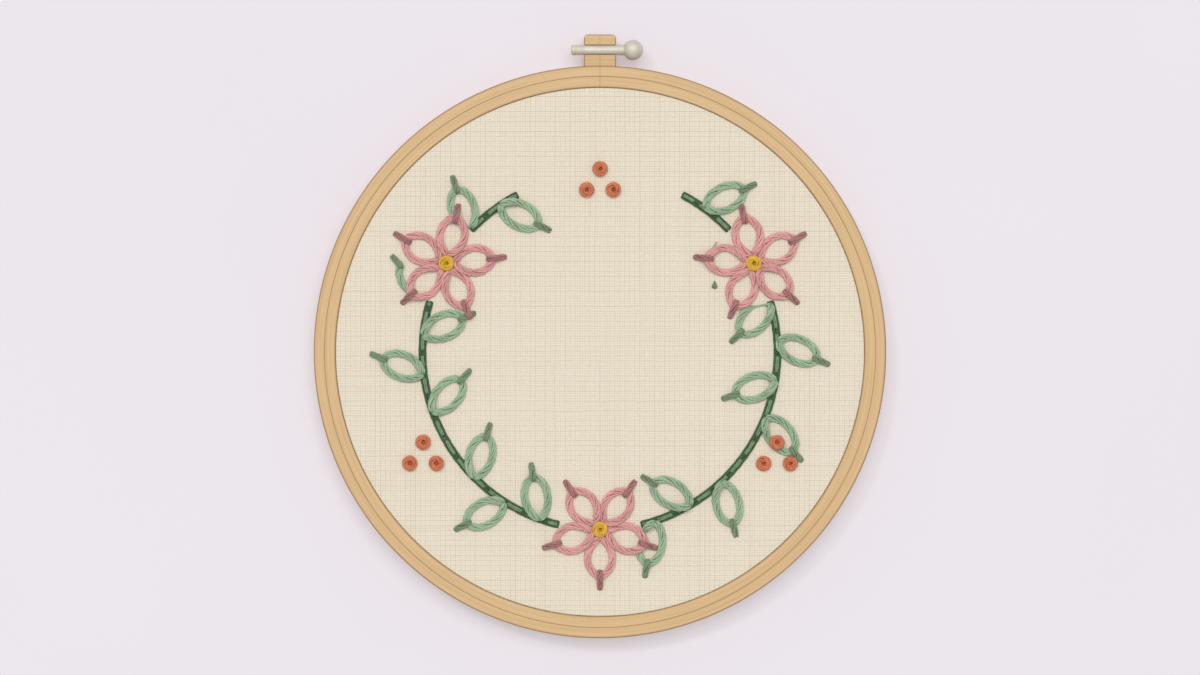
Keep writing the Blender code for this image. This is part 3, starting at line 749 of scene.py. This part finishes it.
stem_cotton = cotton("dark_green_cotton", DARK_GREEN, sheen=0.1)
flower_gap = degrees(2 * np.arcsin(FLOWER_REACH / (2 * WREATH_RADIUS)))
stem_stops = [STEM_FIRST_ANGLE]
for angle in FLOWER_ANGLES:
    stem_stops += [angle - flower_gap, angle + flower_gap]
stem_stops.append(STEM_LAST_ANGLE)
stem_runs = list(zip(stem_stops[::2], stem_stops[1::2]))
for number, (first, last) in enumerate(stem_runs, start=1):
    line = [wreath_point(WREATH_RADIUS, angle) for angle in np.linspace(first, last, 80)]
    stitch(f"stem_thread_{number}", line, stem_cotton, "stem_thread", [f"stem_{number}"],
           half_width=STEM_HALF_WIDTH, half_height=STEM_HALF_HEIGHT, count=9, strand=STEM_STRAND,
           twist=45.0, bend=0.3 * MM, narrow=0.95)

# Running stitches
# A finer, lighter green worked in running stitch along the middle of the stem, which holds it down.
DASH_FLOSS = {"half_width": 0.5 * MM, "half_height": 0.3 * MM, "count": 4, "strand": 0.19 * MM,
              "twist": 110.0, "bend": 0.35 * MM, "narrow": 0.9}
DASH_SINK = 0.08 * MM
DASH_LENGTH = 4.36 * MM
DASH_PERIOD = 6.055 * MM
DASH_FIRST = 5.12 * MM
MID_GREEN = (126, 157, 118)
DASH_SHORTEST = 0.7 * MM
DASH_MARGIN = 0.25 * MM
dash_cotton = cotton("mid_green_cotton", MID_GREEN, sheen=0.15)
angle_per_metre = degrees(1 / WREATH_RADIUS)
dash_count = ceil((STEM_LAST_ANGLE - STEM_FIRST_ANGLE) / angle_per_metre / DASH_PERIOD)
dashes = []
for number in range(-1, dash_count):
    first = STEM_FIRST_ANGLE + (DASH_FIRST + DASH_PERIOD * number) * angle_per_metre
    last = first + DASH_LENGTH * angle_per_metre
    for run_first, run_last in stem_runs:
        start = max(first, run_first + DASH_MARGIN * angle_per_metre)
        end = min(last, run_last - DASH_MARGIN * angle_per_metre)
        if end - start > DASH_SHORTEST * angle_per_metre:
            dashes.append((start, end))
for number, (first, last) in enumerate(dashes, start=1):
    line = [wreath_point(WREATH_RADIUS, angle) for angle in np.linspace(first, last, 12)]
    stitch(f"stem_running_stitch_{number:02d}", line, dash_cotton, "stem_thread", give=1.0,
           sink=DASH_SINK, **DASH_FLOSS)
for number, (before, after) in enumerate(zip(dashes, dashes[1:]), start=1):
    line = [wreath_point(WREATH_RADIUS, angle) for angle in np.linspace(before[1], after[0], 8)]
    stitch(f"stem_back_stitch_{number:02d}", line, dash_cotton, "stem_thread", side="back", **DASH_FLOSS)

# Leaves
# Lazy-daisy stitches, one on each side of the stem by turns: a loop of floss that comes up and goes down
# in one hole on the stem, held at its tip by a short tie in a darker green.
LEAF_LOOP = ((0.0, 0.2 * MM), (4.54 * MM, 2.7 * MM), (3.82 * MM, 10.98 * MM), (0.0, 11.73 * MM))
LEAF_TIE = (10.7 * MM, 15.5 * MM)
LEAF_HALF_WIDTH = 1.04 * MM
TIE_FLOSS = {"half_width": 0.88 * MM, "half_height": 0.5 * MM, "strand": 0.28 * MM, "bend": 0.5 * MM,
             "narrow": 0.8}
BACK_FLOSS = {"half_width": 0.78 * MM, "half_height": 0.42 * MM, "strand": 0.27 * MM, "bend": 0.5 * MM}
LEAF_FOOT_RADIUS = 48.5 * MM
LEAF_FIRST_ANGLE = 34.22
LEAF_SPACING = 12.6
LEAF_LEAN = 61.4
LEAF_NUMBERS = (0, 1, 3, 4, 5, 6, 8, 9, 10, 13, 14, 15, 17, 18, 19, 20, 22, 23)
SHORTEST_SHOWN = 1.2 * MM
THINNEST_SHOWN = 0.15 * MM
LEAF_GREEN = (163, 190, 155)
LEAF_TIE_GREEN = (129, 152, 118)


def loop_line(curve):
    """A lazy-daisy loop's centreline as (across, along) points, from its hole round its tip and back."""
    shares = np.linspace(0.0, 1.0, 60)
    rest = 1 - shares
    weights = np.stack((rest**3, 3 * rest**2 * shares, 3 * rest * shares**2, shares**3), axis=1)
    right = weights @ np.array(curve)
    left = right[-2::-1] * (-1.0, 1.0)
    line = np.concatenate((right, left))
    tip = len(right) - 1
    soft = line.copy()
    for number in range(tip - 2, tip + 3):
        soft[number] = line[number - 1:number + 2].mean(axis=0)
    return soft


def on_linen(points, place, turn):
    """A stitch's own (across, along) points, set out on the linen."""
    across_way = np.array((cos(radians(turn)), sin(radians(turn))))
    along_way = np.array((-sin(radians(turn)), cos(radians(turn))))
    points = np.asarray(points)
    return place + points[:, :1] * across_way + points[:, 1:] * along_way


def beside_flowers(line, half_width):
    """The runs of a line that show outside the flowers, drawn narrower where they pass close by one."""
    spots = np.array(line, dtype=float)
    share = np.ones(len(spots))
    for angle in FLOWER_ANGLES:
        middle = wreath_point(WREATH_RADIUS, angle)
        away = spots - middle
        distance = np.linalg.norm(away, axis=1)
        close = distance < FLOWER_REACH + half_width
        width = np.clip((distance - FLOWER_REACH + half_width) / 2, 0.0, half_width)
        moved = middle + away / distance[:, None] * (FLOWER_REACH + width)[:, None]
        spots = np.where(close[:, None], moved, spots)
        share = np.where(close, np.minimum(share, width / half_width), share)
    shown = share * half_width > THINNEST_SHOWN
    runs, current = [], []
    for number, clear in enumerate(shown):
        if clear:
            current.append(number)
        elif current:
            runs.append(current)
            current = []
    if current:
        runs.append(current)
    kept = []
    for run in runs:
        part = spots[run]
        reached = np.concatenate(([0.0], np.cumsum(np.linalg.norm(np.diff(part, axis=0), axis=1))))
        if reached[-1] > SHORTEST_SHOWN:
            kept.append((part, (reached, share[run])))
    return kept


def behind(name, start, end, material, slot, seed):
    """The floss as it travels behind the linen from one hole to the next, a little slack."""
    shares = np.linspace(0.0, 1.0, 12)[:, None]
    way = end - start
    sag = np.array((-way[1], way[0])) * 0.05 * sin(2.4 * seed)
    line = start + way * shares + sag * 4 * shares * (1 - shares)
    stitch(name, line, material, slot, side="back", **BACK_FLOSS)


leaf_cotton = cotton("sage_green_cotton", LEAF_GREEN)
leaf_tie_cotton = cotton("deep_sage_cotton", LEAF_TIE_GREEN)
packed_nodes = set(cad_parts)
travelled = None
for number in LEAF_NUMBERS:
    angle = LEAF_FIRST_ANGLE + LEAF_SPACING * number
    turn = angle - 90.0 + (LEAF_LEAN if number % 2 else -LEAF_LEAN)
    middle = wreath_point(LEAF_FOOT_RADIUS, angle)
    nodes = [node for node in (f"leaf_{number:02d}", f"leaf_{number:02d}b") if node in packed_nodes]
    tie_line = on_linen([(0.0, along) for along in np.linspace(*LEAF_TIE, 20)], middle, turn)
    for part, (line, widths) in enumerate(
            beside_flowers(on_linen(loop_line(LEAF_LOOP), middle, turn), LEAF_HALF_WIDTH)):
        stitch(f"leaf_loop_{number:02d}_{part + 1}", line, leaf_cotton, "leaf_thread", nodes,
               half_width=LEAF_HALF_WIDTH, widths=widths)
    for part, (line, widths) in enumerate(beside_flowers(tie_line, TIE_FLOSS["half_width"])):
        stitch(f"leaf_tie_{number:02d}_{part + 1}", line, leaf_tie_cotton, "leaf_thread", widths=widths,
               **TIE_FLOSS)
    root, tip, tie_end = on_linen([LEAF_LOOP[0], (0.0, LEAF_TIE[0]), (0.0, LEAF_TIE[1])], middle, turn)
    if travelled is not None:
        behind(f"leaf_back_travel_{number:02d}", travelled, root, leaf_cotton, "leaf_thread", number)
    behind(f"leaf_back_{number:02d}", root, tip, leaf_cotton, "leaf_thread", number)
    travelled = tie_end

# Flowers
# Five lazy-daisy petals round one middle, each with its tie, and a golden French knot over their holes.
PETALS = 5
PETAL_LOOP = ((0.0, 2.855 * MM), (0.7 * MM, 1.53 * MM), (7.29 * MM, 8.63 * MM), (0.0, 13.07 * MM))
PETAL_TIE = (11.2 * MM, 16.35 * MM)
PETAL_HALF_WIDTH = 1.02 * MM
KNOT_HALF_WIDTH = 0.82 * MM
KNOT_HALF_HEIGHT = 0.62 * MM
KNOT_STRAND = 0.3 * MM
KNOT_REACH = 1.4 * MM
KNOT_TURNS = 3.1
DIMPLE_ASIDE = (0.3 * MM, -0.26 * MM)
CENTRE_SIZE = 1.07
PETAL_PINK = (228, 165, 161)
PETAL_TIE_PINK = (178, 123, 120)
GOLDEN = (232, 182, 46)


def knot(name, place, size, material, slot, node, seed):
    """A French knot: the floss wound in a close coil, and its end drawn down through the middle."""
    around = np.linspace(0.0, 1.0, 96)
    turn = 2 * pi * KNOT_TURNS * around + seed
    ring = np.interp(around, (0.0, 0.4, 0.62, 0.76, 1.0), (1.32, 1.3, 1.14, 0.42, 0.25)) * MM * size
    rise = np.interp(around, (0.0, 0.1, 0.4, 0.6, 0.74, 1.0), (0.2, 0.55, 1.1, 1.25, 0.3, 0.0)) * MM
    aside = np.interp(around, (0.5, 0.8), (0.0, 1.0))[:, None] * np.array(DIMPLE_ASIDE) * size
    row, column = cell(place[None, :])
    reach = int(KNOT_REACH / CELL)
    under = laid["front"][row[0] - reach:row[0] + reach + 1, column[0] - reach:column[0] + reach + 1]
    base = 0.8 * np.percentile(under, 70)
    spots = place + aside + ring[:, None] * np.stack((np.cos(turn), np.sin(turn)), axis=1)
    path = np.column_stack((spots, LINEN_FRONT + np.maximum(base + rise, 0.7 * laid["front"][cell(spots)])))
    wide = np.interp(around, (0.0, 0.1, 0.62, 0.76, 1.0), (0.5, 1.0, 0.8, 0.5, 0.45)) * KNOT_HALF_WIDTH * size
    tall = np.full(len(path), KNOT_HALF_HEIGHT)
    mesh = strands(name, path, wide, tall, 6, KNOT_STRAND, 110.0, 5000 + int(seed * 100))
    return set_down(name, mesh, material, slot, node)


petal_cotton = cotton("dusty_pink_cotton", PETAL_PINK)
petal_tie_cotton = cotton("deep_pink_cotton", PETAL_TIE_PINK)
golden_cotton = cotton("golden_cotton", GOLDEN, sheen=0.1, gloss=1.0)
tie_points = [(0.0, along) for along in np.linspace(*PETAL_TIE, 20)]
for flower, angle in enumerate(FLOWER_ANGLES, start=1):
    middle = wreath_point(WREATH_RADIUS, angle)
    for number in range(1, PETALS + 1):
        turn = angle + 360.0 * (number - 1) / PETALS
        stitch(f"petal_loop_{flower}_{number}", on_linen(loop_line(PETAL_LOOP), middle, turn),
               petal_cotton, "petal_thread", [f"petal_{flower}_{number}"], half_width=PETAL_HALF_WIDTH)
    for number in range(1, PETALS + 1):
        turn = angle + 360.0 * (number - 1) / PETALS
        stitch(f"petal_tie_{flower}_{number}", on_linen(tie_points, middle, turn), petal_tie_cotton,
               "petal_thread", **TIE_FLOSS)
    travelled = None
    for number in range(1, PETALS + 1):
        turn = angle + 360.0 * (number - 1) / PETALS
        root, tip, tie_end = on_linen([PETAL_LOOP[0], (0.0, PETAL_TIE[0]), (0.0, PETAL_TIE[1])], middle, turn)
        if travelled is not None:
            behind(f"petal_back_travel_{flower}_{number}", travelled, root, petal_cotton, "petal_thread",
                   number)
        behind(f"petal_back_{flower}_{number}", root, tip, petal_cotton, "petal_thread", number)
        travelled = tie_end
    knot(f"centre_knot_{flower}", middle, CENTRE_SIZE, golden_cotton, "centre_thread", f"centre_{flower}",
         0.7 + flower)

# Berries
# French knots in rust red, in threes: one group between the stem's ends and two on its outer side.
BERRY_TRIOS = ((0.0, 46.1 * MM), (120.5, 55.9 * MM), (239.5, 55.95 * MM))
BERRY_PLACES = ((0.0, 3.8 * MM), (-3.63 * MM, -1.9 * MM), (3.63 * MM, -1.9 * MM))
RUST_RED = (215, 117, 72)
BERRY_SIZE = 1.02
berry_cotton = cotton("rust_red_cotton", RUST_RED, sheen=0.1, gloss=1.0)
for trio, (angle, distance) in enumerate(BERRY_TRIOS, start=1):
    middle = wreath_point(distance, angle)
    for number, place in enumerate(BERRY_PLACES, start=1):
        knot(f"berry_knot_{trio}_{number}", middle + place, BERRY_SIZE, berry_cotton, "berry_thread",
             f"berry_{trio}_{number}", 0.4 + 1.9 * trio + 0.8 * number)
    for number, (start, end) in enumerate(zip(BERRY_PLACES, BERRY_PLACES[1:]), start=1):
        behind(f"berry_back_{trio}_{number}", middle + start, middle + end, berry_cotton, "berry_thread",
               number)

# Floor, light and camera
# The piece lies face up on a pale, faintly glowing light table, under soft daylight from above the screw
# and a little light from a window at the upper left.
FLOOR_LILAC = (192, 187, 193)
FLOOR_GLOW = (236, 230, 237)
GLOW_STRENGTH = 0.36
DAYLIGHT = ("daylight", 1.42, 42.0, (0.07, 0.27, 1.0))
WINDOW = ("window", 0.36, 8.0, (-0.42, 0.46, 1.0))
SKY = 0.5
FLOOR_HEIGHT = -0.05 * MM
IMAGE_WIDTH = 327.0 * MM
IMAGE_ABOVE_HOOP = 3.95 * MM
LENS = 120.0
SENSOR = 36.0

floor_material, tree, shader = finish(
    "pale_lilac_table", 0.9, Specular_IOR_Level=0.1, Emission_Color=paint(FLOOR_GLOW),
    Emission_Strength=GLOW_STRENGTH)
patches = wire(tree, "TexNoise", wire(tree, "TexCoord", out="Object"), None, 9.0, 2.0, 0.5)
patches = wire(tree, "MapRange", patches, 0.3, 0.7, 0.0, 1.0)
darker_lilac = tuple(part - 2 for part in FLOOR_LILAC)
colour_by(tree, shader, wire(tree, "MixRGB", patches, paint(FLOOR_LILAC), paint(darker_lilac)))
corners = [(x, y, FLOOR_HEIGHT) for x, y in ((-4, -4), (4, -4), (4, 4), (-4, 4))]
floor_mesh = bpy.data.meshes.new("table")
floor_mesh.from_pydata(corners, [], [(0, 1, 2, 3)])
floor_mesh.materials.append(floor_material)
floor = bpy.data.objects.new("table", floor_mesh)
bpy.context.scene.collection.objects.link(floor)

for name, energy, spread, direction in (DAYLIGHT, WINDOW):
    light = bpy.data.lights.new(name, "SUN")
    light.energy = energy
    light.angle = radians(spread)
    lamp = bpy.data.objects.new(name, light)
    lamp.rotation_euler = Vector(direction).to_track_quat("Z", "Y").to_euler()
    bpy.context.scene.collection.objects.link(lamp)

world = bpy.data.worlds.new("pale_room")
world.use_nodes = True
world.node_tree.nodes["Background"].inputs["Color"].default_value = (1.0, 1.0, 1.0, 1.0)
world.node_tree.nodes["Background"].inputs["Strength"].default_value = SKY
bpy.context.scene.world = world
bpy.context.scene.view_settings.view_transform = "Standard"

lens = bpy.data.cameras.new("overhead")
lens.lens = LENS
lens.sensor_width = SENSOR
camera = bpy.data.objects.new("overhead", lens)
camera.location = (0.0, HOOP_MIDDLE.y + IMAGE_ABOVE_HOOP, LINEN_FRONT + IMAGE_WIDTH * LENS / SENSOR)
bpy.context.scene.collection.objects.link(camera)
bpy.context.scene.camera = camera
